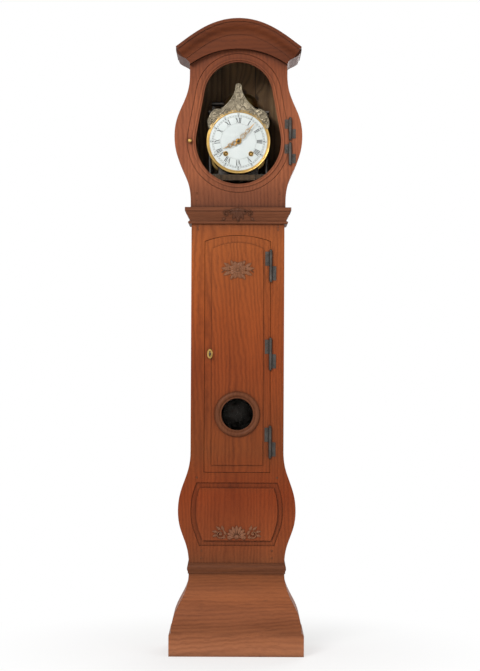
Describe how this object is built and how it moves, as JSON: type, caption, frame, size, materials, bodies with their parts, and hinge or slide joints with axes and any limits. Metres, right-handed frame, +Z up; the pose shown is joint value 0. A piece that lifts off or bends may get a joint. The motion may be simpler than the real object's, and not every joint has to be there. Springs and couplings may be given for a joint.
{
  "type": "longcase clock",
  "caption": "Tall violin-shaped wooden floor clock with a glazed pear-shaped hood, enamel dial, weight-driven train, and a trunk door with a round pendulum window.",
  "frame": {"origin": "middle of the outer box, on the floor", "axes": "+Z up, +Y towards the wall behind, +X to the right as seen from the front"},
  "size_m": [0.488, 0.28, 2.3],
  "materials": {
    "cherry": "waxed",
    "dark_cherry": "waxed",
    "pine": "raw",
    "iron": "forged",
    "cast_iron": "cast",
    "brass": "aged",
    "gilt": "pierced and aged",
    "glass": "clear",
    "enamel": "white enamel",
    "cord": "twisted hemp"
  },
  "bodies": {
    "case": {"base_front": "cherry", "base_side_left": "cherry", "base_side_right": "cherry", "base_floor": "pine", "backboard": "pine", "trunk_side_left": "cherry", "trunk_side_right": "cherry", "trunk_front_frame": "cherry", "belly_panel": "cherry", "belly_carving": "cherry", "waist_moulding": "dark_cherry", "collar_moulding": "dark_cherry", "hood_side_left": "cherry", "hood_side_right": "cherry", "hood_front_frame": "cherry", "hood_roof": "dark_cherry", "crown_front": "dark_cherry", "crown_returns": "dark_cherry", "case_hinge_leaves": "iron", "seat_board": "pine", "movement_bottom_plate": "iron", "movement_top_plate": "iron", "movement_pillars": "iron", "pivot_bars": "iron", "bell": "brass", "bell_stand": "iron", "dial_plate": "iron", "enamel_dial": "enamel", "dial_fronton": "brass"},
    "trunk_door_leaf": {"trunk_door": "cherry", "door_carving": "cherry", "lens_ring": "cherry", "lens_glass": "glass", "trunk_door_hinge_leaves": "iron", "door_lock": "iron", "key_escutcheon": "brass"},
    "bolt": {"door_bolt": "iron"},
    "key": {"door_key": "iron"},
    "hood_door_leaf": {"hood_door_frame": "cherry", "hood_glass": "glass", "hood_door_hinge_leaves": "iron"},
    "catch": {"hood_catch": "brass"},
    "minute_arbor": {"centre_wheel": "brass", "minute_hand": "gilt"},
    "going_barrel_body": {"going_barrel": "brass"},
    "escape_arbor": {"escape_wheel": "brass"},
    "minute_wheel_body": {"minute_wheel": "brass"},
    "hour_pipe": {"hour_wheel": "brass", "hour_hand": "gilt"},
    "anchor_body": {"anchor": "iron"},
    "pendulum": {"pendulum_rod": "iron", "pendulum_bob": "cast_iron"},
    "strike_barrel_body": {"strike_barrel": "brass"},
    "pin_wheel_arbor": {"pin_wheel": "brass"},
    "fly_arbor": {"fly": "brass"},
    "hammer_body": {"hammer": "iron"},
    "going_weight_body": {"going_weight": "cast_iron", "going_cord": "cord"},
    "strike_weight_body": {"strike_weight": "cast_iron", "strike_cord": "cord"}
  },
  "joints": [
    {"name": "trunk_door_swing", "type": "hinge", "parent": "case", "child": "trunk_door_leaf", "pos_m": [0.11975, -0.0758, 1.1], "axis": [0, 0, 1], "range_deg": [0, 105]},
    {"name": "key_turn", "type": "hinge", "parent": "trunk_door_leaf", "child": "key", "pos_m": [-0.1, -0.08, 1.09], "axis": [0, 1, 0], "range_deg": [0, 180]},
    {"name": "bolt_slide", "type": "slide", "parent": "trunk_door_leaf", "child": "bolt", "axis": [-1, 0, 0], "range_m": [0, 0.014]},
    {"name": "hood_door_swing", "type": "hinge", "parent": "case", "child": "hood_door_leaf", "pos_m": [0.188, -0.0898, 1.86], "axis": [0, 0, 1], "range_deg": [0, 105]},
    {"name": "catch_turn", "type": "hinge", "parent": "hood_door_leaf", "child": "catch", "pos_m": [-0.176, -0.074, 1.862], "axis": [0, 1, 0], "range_deg": [0, 90]},
    {"name": "minute_arbor_spin", "type": "hinge", "parent": "case", "child": "minute_arbor", "pos_m": [0, 0.05, 1.864], "axis": [0, 1, 0], "continuous": true},
    {"name": "going_barrel_spin", "type": "hinge", "parent": "case", "child": "going_barrel_body", "pos_m": [0.046, 0.05, 1.8195], "axis": [0, 1, 0], "continuous": true},
    {"name": "escape_spin", "type": "hinge", "parent": "case", "child": "escape_arbor", "pos_m": [0, 0.05, 1.9048], "axis": [0, 1, 0], "continuous": true},
    {"name": "minute_wheel_spin", "type": "hinge", "parent": "case", "child": "minute_wheel_body", "pos_m": [0, 0.05, 1.828], "axis": [0, 1, 0], "continuous": true},
    {"name": "hour_pipe_spin", "type": "hinge", "parent": "case", "child": "hour_pipe", "pos_m": [0, 0.05, 1.864], "axis": [0, 1, 0], "continuous": true},
    {"name": "pendulum_swing", "type": "hinge", "parent": "case", "child": "pendulum", "pos_m": [0, 0.113, 1.9488], "axis": [0, 1, 0], "range_deg": [-2.5, 2.5]},
    {"name": "anchor_rock", "type": "hinge", "parent": "case", "child": "anchor_body", "pos_m": [0, 0.05, 1.9488], "axis": [0, 1, 0], "range_deg": [-2.5, 2.5]},
    {"name": "pin_wheel_spin", "type": "hinge", "parent": "case", "child": "pin_wheel_arbor", "pos_m": [-0.06, 0.05, 1.88195], "axis": [0, 1, 0], "continuous": true},
    {"name": "strike_barrel_spin", "type": "hinge", "parent": "case", "child": "strike_barrel_body", "pos_m": [-0.046, 0.05, 1.8195], "axis": [0, 1, 0], "continuous": true},
    {"name": "fly_spin", "type": "hinge", "parent": "case", "child": "fly_arbor", "pos_m": [-0.06, 0.05, 1.91595], "axis": [0, 1, 0], "continuous": true},
    {"name": "hammer_lift", "type": "hinge", "parent": "case", "child": "hammer_body", "pos_m": [-0.092, 0.046, 1.994], "axis": [0, 1, 0], "range_deg": [-14, 0], "stiffness_Nm_per_rad": 0.05},
    {"name": "going_weight_drop", "type": "slide", "parent": "case", "child": "going_weight_body", "axis": [0, 0, 1], "range_m": [-0.66, 0.34], "deforming": ["going_cord"]},
    {"name": "strike_weight_drop", "type": "slide", "parent": "case", "child": "strike_weight_body", "axis": [0, 0, 1], "range_m": [-0.66, 0.34], "deforming": ["strike_cord"]}
  ],
  "couplings": [
    {"joint": "key_turn", "follows": "bolt_slide", "rad_per_m": 224.4},
    {"joint": "going_barrel_spin", "follows": "minute_arbor_spin", "ratio": -0.11111},
    {"joint": "escape_spin", "follows": "minute_arbor_spin", "ratio": -7.5},
    {"joint": "minute_wheel_spin", "follows": "minute_arbor_spin", "ratio": -0.33333},
    {"joint": "hour_pipe_spin", "follows": "minute_arbor_spin", "ratio": 0.083333},
    {"joint": "anchor_rock", "follows": "pendulum_swing", "ratio": 1},
    {"joint": "strike_barrel_spin", "follows": "pin_wheel_spin", "ratio": -0.11111},
    {"joint": "fly_spin", "follows": "pin_wheel_spin", "ratio": -7.5}
  ]
}
